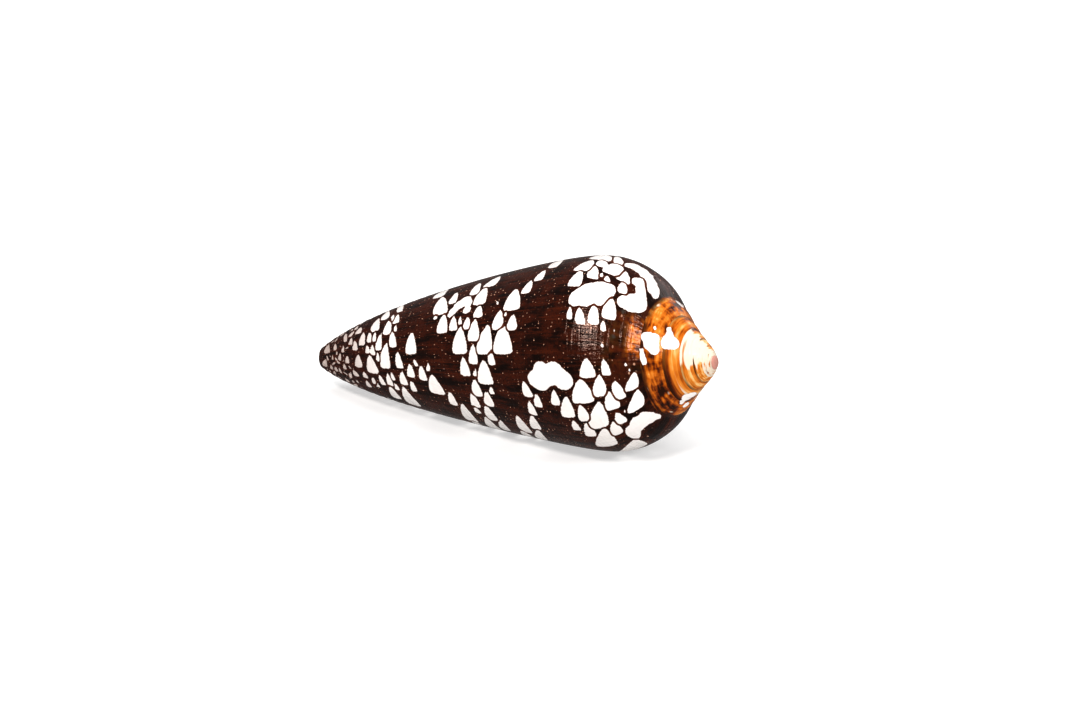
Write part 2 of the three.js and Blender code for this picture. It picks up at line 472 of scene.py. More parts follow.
def camera_side(angle, place):
    """Above zero where the skin faces the camera: the way to the camera, times the way out."""
    to_camera = np.array(camera.location) - skin_point(angle, place)
    return (to_camera * skin_axes(angle, place)[2]).sum(-1)


def fine_grid(first_angle, places, columns, rows):
    """Growth angles up to the lip and places between two ends, as one flat list of pairs."""
    grid = np.meshgrid(np.linspace(first_angle, 0, columns), np.linspace(*places, rows))
    return np.stack([side.ravel() for side in grid])


turn_look = fine_grid(-TURN, (1, 3), *TURN_LOOK)
spire_look = fine_grid(-SPIRE_LOOK_TURNS * TURN, (0, 1), *SPIRE_LOOK)
look_angle, look_place = np.concatenate([turn_look, spire_look], axis=1)
in_view = camera_side(look_angle, look_place) > 0
look_angle, look_place = look_angle[in_view], look_place[in_view]
look_pixel = photo_pixels(skin_point(look_angle, look_place))
print("skin points that face the camera:", len(look_pixel))


def skin_at(pixel):
    """Growth angle and place of the skin point that faces the camera nearest to a pixel."""
    nearest = ((look_pixel - np.array(pixel)) ** 2).sum(-1).argmin()
    return look_angle[nearest], look_place[nearest]


# %% [markdown]
# ## White tents in view
# The tents are rounded triangles, their tips towards the newer shell, and they crowd in bands with brown
# between. A painted image could hold them, but so do five numbers a tent: the pixels of its tip and of its
# foot's middle, and its width along the growth line, in pixels.

# %% Tents below the shoulder
LOWER_TENTS = [
    (586, 358, 588, 379, 18), (603, 359, 607, 376, 10), (580, 379, 584, 404, 25), (599, 375, 600, 397, 16),
    (613, 380, 621, 400, 14), (608, 391, 614, 410, 17), (635, 371, 632, 391, 17), (638, 389, 637, 411, 23),
    (523, 381, 529, 398, 11), (536, 393, 539, 408, 9), (554, 390, 556, 406, 10), (566, 397, 569, 418, 15),
    (580, 405, 586, 422, 13), (599, 402, 599, 429, 22), (616, 412, 623, 424, 13), (613, 421, 618, 435, 14),
    (573, 420, 578, 431, 9), (586, 423, 592, 437, 12), (604, 429, 608, 447, 23), (634, 440, 634, 451, 34),
    (529, 401, 534, 416, 9), (532, 415, 537, 430, 11), (517, 416, 528, 433, 12), (538, 430, 544, 440, 10),
    (522, 430, 531, 439, 11), (626, 361, 626, 367, 5), (629, 367, 628, 373, 6), (624, 409, 624, 414, 5),
]

# %% Tents above the shoulder
TOP_TENTS = [
    (581, 270, 573, 287, 14), (592, 260, 581, 271, 20), (594, 265, 592, 279, 12), (603, 259, 601, 267, 14),
    (603, 255, 601, 260, 30), (618, 257, 616, 264, 15), (619, 263, 611, 275, 24), (625, 271, 622, 282, 18),
    (624, 281, 622, 294, 12), (611, 297, 608, 320, 16), (594, 304, 593, 325, 12), (579, 307, 580, 325, 11),
    (570, 306, 569, 320, 6), (603, 320, 603, 332, 7), (607, 275, 607, 282, 8), (602, 272, 601, 277, 5),
    (602, 341, 602, 348, 4), (613, 325, 613, 332, 4),
]

# %% Tents of the middle band
BAND_TENTS = [
    (442, 297, 440, 315, 16), (457, 292, 451, 304, 9), (447, 288, 437, 298, 13), (486, 287, 478, 305, 14),
    (480, 283, 473, 295, 10), (500, 276, 488, 287, 15), (516, 289, 511, 311, 18), (532, 280, 525, 294, 10),
    (545, 270, 537, 281, 10), (562, 259, 552, 268, 10), (479, 305, 477, 318, 11), (444, 314, 442, 334, 12),
    (454, 316, 453, 331, 9), (468, 316, 466, 330, 8), (475, 319, 473, 342, 13), (460, 327, 460, 355, 16),
    (488, 325, 484, 355, 17), (500, 310, 497, 330, 13), (513, 314, 511, 331, 12), (503, 325, 503, 355, 21),
    (473, 344, 474, 365, 10), (490, 349, 492, 366, 8), (463, 357, 466, 377, 11), (483, 360, 486, 385, 17),
    (474, 379, 478, 397, 12), (486, 391, 490, 407, 11), (472, 392, 477, 408, 10), (486, 405, 494, 421, 12),
    (462, 404, 474, 422, 13), (474, 405, 479, 414, 7), (486, 417, 498, 431, 12), (500, 420, 508, 431, 9),
    (449, 391, 455, 406, 9), (491, 385, 492, 395, 6), (472, 419, 479, 428, 9), (437, 313, 435, 320, 5),
    (460, 316, 460, 325, 5), (475, 368, 475, 377, 5), (497, 300, 497, 305, 4), (506, 311, 505, 317, 5),
]

# %% Tents towards the front end
FRONT_TENTS = [
    (412, 332, 411, 355, 12), (386, 343, 386, 369, 11), (397, 351, 400, 369, 8), (409, 363, 412, 378, 9),
    (413, 358, 416, 367, 5), (420, 365, 424, 381, 9), (428, 362, 428, 372, 5), (432, 374, 439, 395, 17),
    (401, 371, 405, 386, 9), (411, 380, 415, 392, 7), (403, 387, 416, 406, 15),
    (390, 386, 398, 399, 11), (394, 382, 398, 391, 6), (387, 373, 391, 387, 7), (391, 371, 394, 381, 5),
    (379, 374, 384, 386, 6), (369, 355, 374, 374, 13), (358, 354, 359, 368, 9), (392, 331, 393, 348, 8),
    (381, 333, 378, 351, 7), (364, 332, 361, 346, 7), (370, 331, 369, 343, 5), (375, 331, 374, 342, 5),
    (355, 340, 355, 351, 6), (351, 337, 350, 346, 5), (367, 344, 367, 354, 5), (372, 344, 373, 356, 6),
    (377, 352, 378, 362, 5), (390, 319, 386, 335, 9), (379, 318, 374, 332, 10), (388, 311, 384, 320, 10),
    (398, 314, 395, 324, 8), (393, 314, 392, 322, 5), (396, 324, 395, 332, 4), (402, 305, 399, 312, 6),
    (361, 327, 357, 334, 8), (377, 382, 379, 388, 5), (353, 369, 357, 377, 7), (363, 371, 366, 379, 6),
    (372, 376, 375, 385, 5), (329, 343, 327, 354, 7), (326, 359, 325, 367, 7), (347, 355, 347, 364, 5),
    (343, 345, 343, 353, 4), (344, 363, 345, 370, 5), (335, 343, 335, 351, 4), (346, 333, 345, 342, 4),
    (333, 354, 333, 360, 4), (335, 366, 337, 372, 5), (387, 398, 392, 402, 8), (366, 380, 370, 388, 6),
    (434, 366, 434, 370, 3), (443, 366, 443, 370, 3),
]

# %% [markdown]
# ## White blotches in view
# Where tents have run together they make blotches, such as the heart below the shoulder and the patches on
# the spire. More tents would leave brown lines inside them, so a blotch is a handful of rounds that
# overlap, each the pixel of its middle and its radius in pixels.

# %% Blotches
HEART = [
    (540.5, 368, 7.5), (536.5, 379, 9.5), (553, 369.5, 8.5), (563, 381, 10), (547, 378, 9), (558, 376, 9),
    (541, 383, 8.5),
]
LOWER_SLANT = [
    (633, 432, 7.5), (638, 424, 8), (645, 419, 7.5), (652, 417, 5.5), (659, 416, 3.5), (636, 436, 4),
]
TOP_BLOTCH = [
    (578, 297, 9.5), (588, 293, 12), (598, 292, 12.5), (607, 291, 9), (574, 301, 5), (586, 299, 8),
    (600, 298, 8),
]
TOP_HOOK = [
    (624, 301, 7), (632, 303, 9.5), (640, 304, 8.5), (640, 282, 6), (641, 290, 5.5), (641, 297, 6),
    (635, 280, 4),
]
TOP_ARC = [
    (628, 265, 4), (634, 266, 5.5), (641, 270, 6), (647, 276, 6), (651, 283, 6), (654, 290, 6), (656, 296, 4),
]
BAND_HOOK = [(465, 301, 6), (459, 305, 5.5), (453, 311, 4.5), (450, 315, 3), (467, 310, 4.5), (469, 303, 4)]
SPIRE_PATCHES = [
    [
        (646, 337, 5.5), (650.5, 337.5, 5.5), (653, 342, 7), (654, 349.5, 6), (656, 337.5, 4.5),
        (648.5, 345, 5.5),
    ],
    [(668.5, 341.5, 7), (670, 335, 4.5), (674, 343, 6.5), (665.5, 343.5, 5.5), (669, 329, 3)],
    [(655, 328, 2.5)],
    [(641.5, 350, 2.4), (642.5, 354, 3), (643.5, 358.5, 3.4), (644.5, 363, 3)],
    [(680, 304, 4.5), (684, 308, 3.5)],
    [(693, 395, 4), (687, 398, 4.5), (682, 402, 3)],
    [(686, 405, 3.5)],
]

# %% Tents and blotches on the skin
blotches_in_view = [HEART, LOWER_SLANT, TOP_BLOTCH, TOP_HOOK, TOP_ARC, BAND_HOOK, *SPIRE_PATCHES]


def pixels_a_metre(middle, direction):
    """How long a direction on the skin looks in the picture, from a step of one millimetre."""
    return np.linalg.norm(photo_pixels(middle + direction * MM) - photo_pixels(middle)) / MM


def tent_on_skin(tip_x, tip_y, foot_x, foot_y, wide):
    """A tent read from the photograph, as its tip and foot on the skin and its width in metres."""
    tip, foot = skin_at((tip_x, tip_y)), skin_at((foot_x, foot_y))
    return tip, foot, wide / pixels_a_metre(skin_point(*foot), skin_axes(*foot)[0])


def round_on_skin(x, y, radius):
    """A round read from the photograph, as its middle on the skin and its two radii in metres."""
    middle = skin_at((x, y))
    along, round_, _ = skin_axes(*middle)
    looks = np.array([pixels_a_metre(skin_point(*middle), side) for side in (along, round_)])
    return middle, radius / looks


tents = [tent_on_skin(*tent) for tent in LOWER_TENTS + TOP_TENTS + BAND_TENTS + FRONT_TENTS]
blotches = [[round_on_skin(*spot) for spot in blotch] for blotch in blotches_in_view]
print("tents in view:", len(tents), "widest in mm:", round(max(wide for _, _, wide in tents) / MM, 1))

# %% [markdown]
# ## White tents out of view
# Behind and underneath, the bands go on. They could be mirrored from the side in view, but two alike sides
# would show, so there the tents are strewn: a seeded draw gives each one a place, it is kept where the
# bands are white, and dropped where it would lie on a tent that is already there.

# %% Bands of tents
SHOULDER_BAND = (12, 27)  # this and the next in mm from the apex
MIDDLE_BAND = (31.5, 42)
FRONT_BAND = 46  # from here on to the front end
CLUSTER_SHIFT = 0.6  # turns the clusters round the shell
CLUSTER_EDGE = (0.35, 0.6)
STRAY = 0.02  # how likely a tent is between the bands
WIDTH_ALONG = [12, 27, 40, 50, 58]  # mm from the apex
USUAL_WIDTH = [2.3, 2.3, 1.7, 1.0, 0.55]  # the tents' width there, in mm
LEAST_WIDTH = 0.5  # as a share of the usual one
WIDTH_SPREAD = 0.9


def band_share(along_mm, angle):
    """How likely a tent is: two clusters a turn at the shoulder, an even middle band, many in front."""
    clusters = 0.5 + 0.5 * np.cos(2 * angle + CLUSTER_SHIFT)
    shoulder = (along_mm > SHOULDER_BAND[0]) & (along_mm < SHOULDER_BAND[1])
    middle = (along_mm > MIDDLE_BAND[0]) & (along_mm < MIDDLE_BAND[1])
    clustered = shoulder * smoothstep(clusters, *CLUSTER_EDGE)
    return np.maximum.reduce([clustered, middle, along_mm > FRONT_BAND, np.full_like(angle, STRAY)])


def tent_width(along_mm, chance):
    """Width of a strewn tent: 1.2 to 3.2 mm at the shoulder, less and less towards the front end."""
    return np.interp(along_mm, WIDTH_ALONG, USUAL_WIDTH) * (LEAST_WIDTH + WIDTH_SPREAD * chance) * MM


print("middling tents in mm:", tent_width(WIDTH_ALONG, 0.5) / MM)

# %% Tents strewn over the rest
STREW_SEED = 11
TRIES = 9000
STREW_ANGLES = (-TURN, -0.03)
STREW_PLACES = (1.1, 2.98)
FRONT_STREW = 53  # from here forward tents are strewn in view too, in mm from the apex
MANY_SMALL = 1.5  # a power that makes small tents more common
TENT_SLIM = 1.25  # length over width
CROWDING = 0.84  # how near two tents may come, as a share of their reaches
LEAN = 0.007  # how far a tent's tip lies to one side, as a share of the flank


def tent_span(tip, foot, wide):
    """The middle of a tent, and the greater of its length and its width."""
    top, bottom = skin_point(*tip), skin_point(*foot)
    return (top + bottom) / 2, max(wide, np.linalg.norm(top - bottom))


draw = np.random.default_rng(STREW_SEED)
new_angle = draw.uniform(*STREW_ANGLES, TRIES)
new_place = draw.uniform(*STREW_PLACES, TRIES)
new_along = lip_outline(new_place)[:, 0] / MM
new_wide = tent_width(new_along, draw.random(TRIES) ** MANY_SMALL)
new_lean = draw.normal(0, LEAN, TRIES)
new_point = skin_point(new_angle, new_place)
out_of_view = camera_side(new_angle, new_place) < 0
likely = draw.random(TRIES) < band_share(new_along, new_angle)
wanted = likely & (out_of_view | (new_along > FRONT_STREW))

spans = [tent_span(*tent) for tent in tents]
taken_point = [middle for middle, _ in spans]
taken_point += [skin_point(*middle) for blotch in blotches for middle, _ in blotch]
taken_reach = [reach / 2 for _, reach in spans]
taken_reach += [radii.max() for blotch in blotches for _, radii in blotch]
for k in np.flatnonzero(wanted)[np.argsort(-new_wide[wanted], kind="stable")]:
    reach = new_wide[k] * TENT_SLIM / 2
    apart = np.linalg.norm(np.array(taken_point) - new_point[k], axis=1)
    if (apart > CROWDING * (np.array(taken_reach) + reach)).all():
        half_turn = reach / outline_at(new_angle[k], new_place[k])[1]
        tip = (new_angle[k] + half_turn, new_place[k] + new_lean[k])
        foot = (new_angle[k] - half_turn, new_place[k] - new_lean[k])
        tents.append((tip, foot, new_wide[k]))
        taken_point.append(new_point[k])
        taken_reach.append(reach)
print("tents in all:", len(tents))

# %% [markdown]
# ## How deep inside a tent each point is
# The shader needs a smooth number at each point: the distance to a tent's edge, above zero inside it. The
# edge is drawn close to where it passes zero, and so is far sharper than the mesh. Each tent is a triangle
# with bulging sides on the plane that touches the skin. Neighbours go into different layers, as a map's
# countries get different colours, so that the shader can keep the thin brown line between them.

# %% Distance inside a mark
BULGE = 0.09  # how far a side bulges, as a share of its length
FOOT_BULGE = 0.04
CORNER_SOFT = 0.065  # how far corners are rounded, as a share of the width
TIP_STRETCH = 1.1  # makes up for what the rounding takes off the tip
JOIN_SOFT = 0.15 * MM  # how far the notches between joined rounds fill up


def arc_distance(spots, start, end, bulge):
    """Distance inside the circle whose arc bulges to the right of the line from start to end."""
    side = end - start
    reach = np.linalg.norm(side)
    radius = reach * (1 / (8 * bulge) + bulge / 2)
    out = np.array([side[1], -side[0]]) / reach
    centre = (start + end) / 2 + out * (bulge * reach - radius)
    return radius - np.linalg.norm(spots - centre, axis=1)


def tent_distance(spots, tip, foot, wide):
    """Distance inside a tent: the soft least, -k log(sum of e^(-d / k)), of those inside its three arcs."""
    middle, top = skin_point(*foot), skin_point(*tip)
    along, round_, _ = skin_axes(*foot)
    plane = np.stack([along, round_], -1)
    lift = FOOT_BULGE * wide
    left, right = np.array([-wide / 2, lift]), np.array([wide / 2, lift])
    point = (top - middle) @ plane * TIP_STRETCH
    flat = (spots - middle) @ plane
    arcs = [
        arc_distance(flat, left, right, FOOT_BULGE),
        arc_distance(flat, right, point, BULGE),
        arc_distance(flat, point, left, BULGE),
    ]
    soft = CORNER_SOFT * wide
    return -soft * np.logaddexp.reduce([-arc / soft for arc in arcs])


def blotch_distance(spots, blotch):
    """Distance inside a blotch: the soft most, k log(sum of e^(d / k)), of those inside its rounds."""
    inside = []
    for middle, radii in blotch:
        flat = (spots - skin_point(*middle)) @ np.stack(skin_axes(*middle)[:2], -1)
        inside.append((1 - np.linalg.norm(flat / radii, axis=1)) * radii.min())
    return JOIN_SOFT * np.logaddexp.reduce(np.array(inside) / JOIN_SOFT)


first_middle, _ = tent_span(*tents[0])
print("depth at the first tent's middle in mm:", tent_distance(first_middle[None], *tents[0]) / MM)

# %% Marks in layers
LAYERS = 4
FAR = -1.0 * MM
EDGE_ROOM = 1 * MM  # how far beyond a mark its distance is kept

tent_layers = np.full((LAYERS, len(points)), FAR)


def lay_mark(centre, reach, distance, *mark):
    """Puts a mark into the layer where the marks before it come least near."""
    near = np.flatnonzero(((points - centre) ** 2).sum(1) < (reach + EDGE_ROOM) ** 2)
    inside = distance(points[near], *mark)
    crowded = np.minimum(tent_layers[:, near], inside).max(1, initial=FAR)
    layer = crowded.argmin()
    tent_layers[layer, near] = np.maximum(tent_layers[layer, near], inside)


for blotch in blotches:
    centres = np.array([skin_point(*middle) for middle, _ in blotch])
    centre = centres.mean(0)
    widest_round = max(radii.max() for _, radii in blotch)
    reach = np.linalg.norm(centres - centre, axis=1).max() + widest_round
    lay_mark(centre, reach, blotch_distance, blotch)
for tent in tents:
    lay_mark(*tent_span(*tent), tent_distance, *tent)
print("white share of the points:", round(float((tent_layers.max(0) > 0).mean()), 2))

# %% [markdown]
# ## Where the other colours lie
# The spire is orange-brown, paler towards the apex, with a pink nub. On the last turn the ramp is brown
# like the flank and orange only in patches. Inside the mouth the shell is white. Each could be a material
# of its own with a hard border. Here each is a share from 0 to 1 at every point, by growth angle and place,
# so that they can blend. One more share paints shade as a dark line in the groove of each suture.

# %% Orange share
ORANGE_PATCH_ENDS = [(636, 318), (633, 358)]  # pixels of the orange patch on the last turn's ramp
ORANGE_PATCH_STEP = math.radians(180)  # from one patch to the next
ORANGE_FADE = math.radians(6)
PATCH_PLACES = (0.38, 0.55)  # where a patch fades out on the ramp
WARM_SHARE = 0.06  # the orange in the warm brown round a patch
WARM_REACH = math.radians(22)
WARM_PLACES = (0.9, 1.4)  # where it fades out over the shoulder

in_patch = np.repeat(np.arange(len(patches)), np.diff(starts))
on_ramp, on_nub, on_turn = (in_patch == k for k in range(len(patches)))
turns_back = -angles / TURN
on_spire = on_ramp & (turns_back > 1)
patch_newer, patch_older = (skin_at(pixel)[0] % TURN - TURN for pixel in ORANGE_PATCH_ENDS)
patch_middle = (patch_newer + patch_older) / 2
patch_half = abs(patch_newer - patch_older) / 2
half_step = ORANGE_PATCH_STEP / 2
from_patch = np.abs((angles - patch_middle + half_step) % ORANGE_PATCH_STEP - half_step)
patch_orange = fading(from_patch, patch_half - ORANGE_FADE, patch_half + ORANGE_FADE)
patch_orange *= fading(places, *PATCH_PLACES)
warm_orange = WARM_SHARE * fading(from_patch, patch_half, patch_half + WARM_REACH)
warm_orange *= fading(places, *WARM_PLACES)
orange_share = np.where(on_spire | on_nub, 1, np.maximum(patch_orange, warm_orange))
print("orange patch half width in degrees:", round(math.degrees(patch_half), 1))

# %% Shares of the other colours
SPIRE_PALE_PIXEL = (690, 346)
PALE_COSINES = (0.45, 0.95)
PALE_TURNS = (2.4, 3.2)  # this and the next in turns back from the lip
CREAM_TURNS = (4.6, 6.4)
SPIRE_DARK_PIXEL = (668, 404)
DARK_COSINES = (0.65, 0.98)
DARK_TURNS = (2.2, 3.2)
RAMP_DARK = 0.4  # the dark share of the last turn's ramp
OLD_TURNS = (1.8, 4.2)
PINK_TURNS = (7.6, 8.0)
# Painted shade: each spire turn darkens towards its outer edge, in the groove of the suture.
SUTURE_SHADE_PLACES = (0.78, 0.92)
RIM_POWER = 3  # keeps the front rim brown up to its last row


def sector(pixel, cosines):
    """Share of a sector that all turns have in common, by the cosine of the angle from a pixel's own."""
    return smoothstep(np.cos(angles - skin_at(pixel)[0]), *cosines)


pale_sector = sector(SPIRE_PALE_PIXEL, PALE_COSINES) * smoothstep(turns_back, *PALE_TURNS)
dark_sector = sector(SPIRE_DARK_PIXEL, DARK_COSINES) * fading(turns_back, *DARK_TURNS)
turn_inside = np.ones(turn[1].shape)
turn_inside[:, : COLUMNS + 1] = 0
turn_inside[-FRONT_ROWS:, : COLUMNS + 1] = np.linspace(0, 1, FRONT_ROWS)[:, None] ** RIM_POWER
inside_share = np.zeros(len(points))
inside_share[on_turn] = turn_inside.ravel()
shares = {
    "orange": orange_share,
    "cream": np.where(on_turn, 0, np.maximum(pale_sector, smoothstep(turns_back, *CREAM_TURNS))),
    "dark": np.where(on_ramp, np.where(turns_back < 1, RAMP_DARK, dark_sector), 0),
    "old": np.where(on_ramp, smoothstep(turns_back, *OLD_TURNS), 0),
    "pink": np.where(on_ramp, smoothstep(turns_back, *PINK_TURNS), on_nub),
    "suture_shade": np.where(on_spire, smoothstep(places, *SUTURE_SHADE_PLACES), 0),
    "inside": inside_share,
    "front": np.where(on_turn, front_share(places), 0),
}
print("shares:", list(shares))

# %% [markdown]
# ## Joining the skin
# The patches become one closed mesh that carries the shares on its faces' corners, so that two turns which
# meet at a suture each keep their own. Shared edges are welded, slivers of no area go, and the two small
# holes, at the top of the lip's step and at the front end, are filled. The growth map gives lengths along
# the growth lines and round with the growth, in centimetres, for the streaks that follow them.

# %% Mesh
WELD = 2e-8
SHARP = math.radians(50)
CM = 0.01

mesh = bpy.data.meshes.new("cone_shell")
mesh.from_pydata(points, [], faces)
corner_points = np.zeros(len(mesh.loops), np.int32)
mesh.loops.foreach_get("vertex_index", corner_points)


def keep_on_corners(name, values):
    """One number a point, stored on the corners of the faces round it."""
    layer = mesh.attributes.new(name, "FLOAT", "CORNER")
    layer.data.foreach_set("value", values[corner_points].astype(np.float32))


for number, depth in enumerate(tent_layers):
    keep_on_corners(f"tents_{number}", (depth - FAR) / MM)
for name, share in shares.items():
    keep_on_corners(name, share)
out_from_axis = np.where(on_turn, WIDEST[1], SUTURE[1]) * GROWTH ** (np.where(on_turn, 0, angles) / TURN)
growth_map = np.stack([lip_outline(places)[:, 0], angles * out_from_axis], -1) / CM
corner_map = growth_map[corner_points].astype(np.float32).ravel()
mesh.uv_layers.new(name="growth").uv.foreach_set("vector", corner_map)

skin = bmesh.new()
skin.from_mesh(mesh)
bmesh.ops.remove_doubles(skin, verts=skin.verts, dist=WELD)
bmesh.ops.dissolve_degenerate(skin, edges=skin.edges, dist=WELD)
bmesh.ops.holes_fill(skin, edges=[edge for edge in skin.edges if edge.is_boundary], sides=0)
bmesh.ops.recalc_face_normals(skin, faces=skin.faces)
loose = sum(not edge.is_manifold for edge in skin.edges)
skin.to_mesh(mesh)
skin.free()
mesh.shade_smooth()
mesh.set_sharp_from_angle(angle=SHARP)

shell = put_in_scene("cone_shell", mesh)
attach(shell, "root")
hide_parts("shell")
print("faces", len(mesh.polygons), "edges not shared by two faces", loose)

# %% [markdown]
# ## The shell's finish
# A cone shell is glossy, like glazed clay. One material holds all its colours: dark brown with red-brown
# streaks along the growth lines and rows of pale specks, then the orange of the spire with painted shade in
# its sutures, and the white tents on top, each with a thin orange-brown rim. Its bump has the fine threads
# round the shell and the growth lines across them.

# %% Node helpers
material = bpy.data.materials.new("tented_shell")
material.use_nodes = True
tree = material.node_tree


def set_inputs(node, inputs):
    """Sets a node's inputs to values, or links them to other nodes' outputs."""
    for socket, value in inputs.items():
        if isinstance(value, bpy.types.NodeSocket):
            node.id_data.links.new(value, node.inputs[socket])
        else:
            node.inputs[socket].default_value = value


def add_node(kind, inputs=None, **settings):
    """A node of the shell's material, with its settings and its inputs."""
    node = tree.nodes.new(kind)
    for name, value in settings.items():
        setattr(node, name, value)
    set_inputs(node, inputs or {})
    return node


def share_of(name):
    """A share that the mesh carries."""
    return add_node("ShaderNodeAttribute", attribute_name=name).outputs["Fac"]


def calculate(operation, first, second):
    """One sum of two numbers."""
    return add_node("ShaderNodeMath", {0: first, 1: second}, operation=operation).outputs[0]


def weighed(value, weight):
    """A number times its weight."""
    return calculate("MULTIPLY", value, weight)


def ramped(value, low, high, start=0.0, end=1.0):
    """A value taken smoothly from start at low to end at high."""
    ends = {"Value": value, "From Min": low, "From Max": high, "To Min": start, "To Max": end}
    return add_node("ShaderNodeMapRange", ends, interpolation_type="SMOOTHSTEP").outputs["Result"]


def layered(share, below, above):
    """One colour laid over another by a share."""
    inputs = {0: share, 6: below, 7: above}
    return add_node("ShaderNodeMix", inputs, data_type="RGBA").outputs[2]


def toned(value, stops):
    """A colour that runs through stops, each of them a value and its colour."""
    node = add_node("ShaderNodeValToRGB", {"Fac": value})
    first, last = node.color_ramp.elements
    first.position, first.color = stops[0]
    last.position, last.color = stops[-1]
    for position, colour in stops[1:-1]:
        node.color_ramp.elements.new(position).color = colour
    return node.outputs["Color"]


def growth_place(along, round_):
    """The growth map in units of which so many make a centimetre, along the growth lines and round."""
    place = add_node("ShaderNodeUVMap", uv_map="growth").outputs["UV"]
    return add_node("ShaderNodeMapping", {"Vector": place, "Scale": (along, round_, 1)}).outputs[0]


def noise(along, round_, detail=2.0, rough=0.5):
    """Noise on the growth map, with so many waves a centimetre along the growth lines and round."""
    inputs = {"Vector": growth_place(along, round_), "Scale": 1.0, "Detail": detail, "Roughness": rough}
    return add_node("ShaderNodeTexNoise", inputs, noise_dimensions="2D").outputs["Fac"]


# %% Brown of the flank
DARK_BROWN = (0.006, 0.0010, 0.0004, 1)
WARM_BROWN = (0.049, 0.008, 0.002, 1)
RED_BROWN = (0.095, 0.017, 0.004, 1)
SPECK = (0.50, 0.30, 0.21, 1)
# A noise is its waves along and round, detail and roughness. It sets in between its steps.
TONE_NOISE = (3.2, 5.0, 4, 0.6)
TONE_STEPS = (0.36, 0.62)
STREAK_NOISE = (1.2, 20, 4, 0.6)
STREAK_STEPS = (0.48, 0.75)
STREAK_SHARE = 0.7
GRAIN_NOISE = (34, 34)
GRAIN_STEPS = (0.48, 0.72)
GRAIN_SHARE = 0.5
SPECK_CELLS = (17, 15)  # cells a centimetre, for one speck each
SPECK_CHANCES = (0.62, 0.95)
SPECK_SIZES = (0.06, 0.19)  # as shares of a cell
SPECK_SOFT = (-0.02, 0.03)

tone_patches = ramped(noise(*TONE_NOISE), *TONE_STEPS)
streaks = ramped(noise(*STREAK_NOISE), *STREAK_STEPS, 0, STREAK_SHARE)
grain = ramped(noise(*GRAIN_NOISE), *GRAIN_STEPS, 0, GRAIN_SHARE)
brown = layered(tone_patches, DARK_BROWN, WARM_BROWN)
brown = layered(streaks, brown, RED_BROWN)
brown = layered(grain, brown, DARK_BROWN)

speck_inputs = {"Vector": growth_place(*SPECK_CELLS), "Scale": 1.0}
speck_cells = add_node("ShaderNodeTexVoronoi", speck_inputs, voronoi_dimensions="2D")
speck_draw = add_node("ShaderNodeSeparateColor", {0: speck_cells.outputs["Color"]})
speck_strength = ramped(speck_draw.outputs[0], *SPECK_CHANCES)
speck_size = ramped(speck_draw.outputs[1], 0, 1, *SPECK_SIZES)
speck_dots = ramped(calculate("SUBTRACT", speck_size, speck_cells.outputs["Distance"]), *SPECK_SOFT)
brown = layered(weighed(speck_dots, speck_strength), brown, SPECK)
print("nodes so far:", len(tree.nodes))

# %% Orange of the spire
THREAD_BROWN = (0.030, 0.007, 0.002, 1)
DEEP_ORANGE = (0.17, 0.030, 0.0015, 1)
ORANGE = (0.54, 0.145, 0.006, 1)
BRIGHT_ORANGE = (0.72, 0.28, 0.04, 1)
STRAW = (0.86, 0.56, 0.24, 1)
CREAM = (0.80, 0.71, 0.58, 1)
CLOUD_NOISE = (6, 4, 3, 0.6)
FLAME_NOISE = (2.5, 16, 3, 0.6)
FLAME_WEIGHT = 0.65
BRICK_NOISE = (20, 18, 1)
BRICK_WEIGHT = 0.5
DARK_WEIGHT = 0.20
OLD_WEIGHT = 0.16
TONE_SHIFT = 0.56
ORANGE_STOPS = [
    (0.22, THREAD_BROWN), (0.34, DEEP_ORANGE), (0.50, ORANGE), (0.70, BRIGHT_ORANGE), (0.88, STRAW),
]
SUTURE_SHADE_NOISE = (3, 8)
SUTURE_SHADE_STEPS = (0.3, 0.5)
SUTURE_SHADE_FAINT = 0.5
CREAM_NOISE = (6, 8)
CREAM_WEIGHT = 2.4
CREAM_STEPS = (0.46, 0.74)
NOISE_MIDDLE = 0.5

flames = weighed(noise(*FLAME_NOISE), FLAME_WEIGHT)
bricks = weighed(noise(*BRICK_NOISE), BRICK_WEIGHT)
orange_tone = calculate("ADD", noise(*CLOUD_NOISE), calculate("ADD", flames, bricks))
orange_tone = calculate("SUBTRACT", orange_tone, weighed(share_of("dark"), DARK_WEIGHT))
orange_tone = calculate("ADD", orange_tone, weighed(share_of("old"), OLD_WEIGHT))
orange = toned(calculate("SUBTRACT", orange_tone, TONE_SHIFT), ORANGE_STOPS)
# Painted shade: a thread-brown line in each suture's groove on the spire, fainter in places by a noise.
suture_shade_strength = ramped(noise(*SUTURE_SHADE_NOISE), *SUTURE_SHADE_STEPS, SUTURE_SHADE_FAINT, 1)
orange = layered(weighed(share_of("suture_shade"), suture_shade_strength), orange, THREAD_BROWN)
cream_noise = calculate("SUBTRACT", noise(*CREAM_NOISE), NOISE_MIDDLE)
cream_depth = calculate("ADD", share_of("cream"), weighed(cream_noise, CREAM_WEIGHT))
orange = layered(ramped(cream_depth, *CREAM_STEPS), orange, CREAM)
coloured = layered(share_of("orange"), brown, orange)
print("nodes so far:", len(tree.nodes))

# %% White tents, pink nub and white mouth
WHITE = (0.90, 0.865, 0.84, 1)
FRONT_GREY = (0.58, 0.49, 0.45, 1)
RIM = (0.15, 0.042, 0.018, 1)
PINK = (0.58, 0.30, 0.25, 1)
MOUTH_WHITE = (0.80, 0.77, 0.76, 1)
EDGE_INSET = 0.08  # how far a tent's edge is drawn in, this and the next in mm
TENT_EDGE = EDGE_INSET - FAR / MM  # the stored depth at that edge
EDGE_SOFT = 0.03
EDGE_WAVER = 0.16
EDGE_NOISE = (26, 26, 1)
RIM_WIDE = 0.09
RIM_SHARE = 0.55
BROWN_LINE = 0.24
LINE_SOFT = 0.05
LONE_SOFT = 0.02
GREY_SHARES = (0.80, 1.0)  # front shares between which the white turns grey

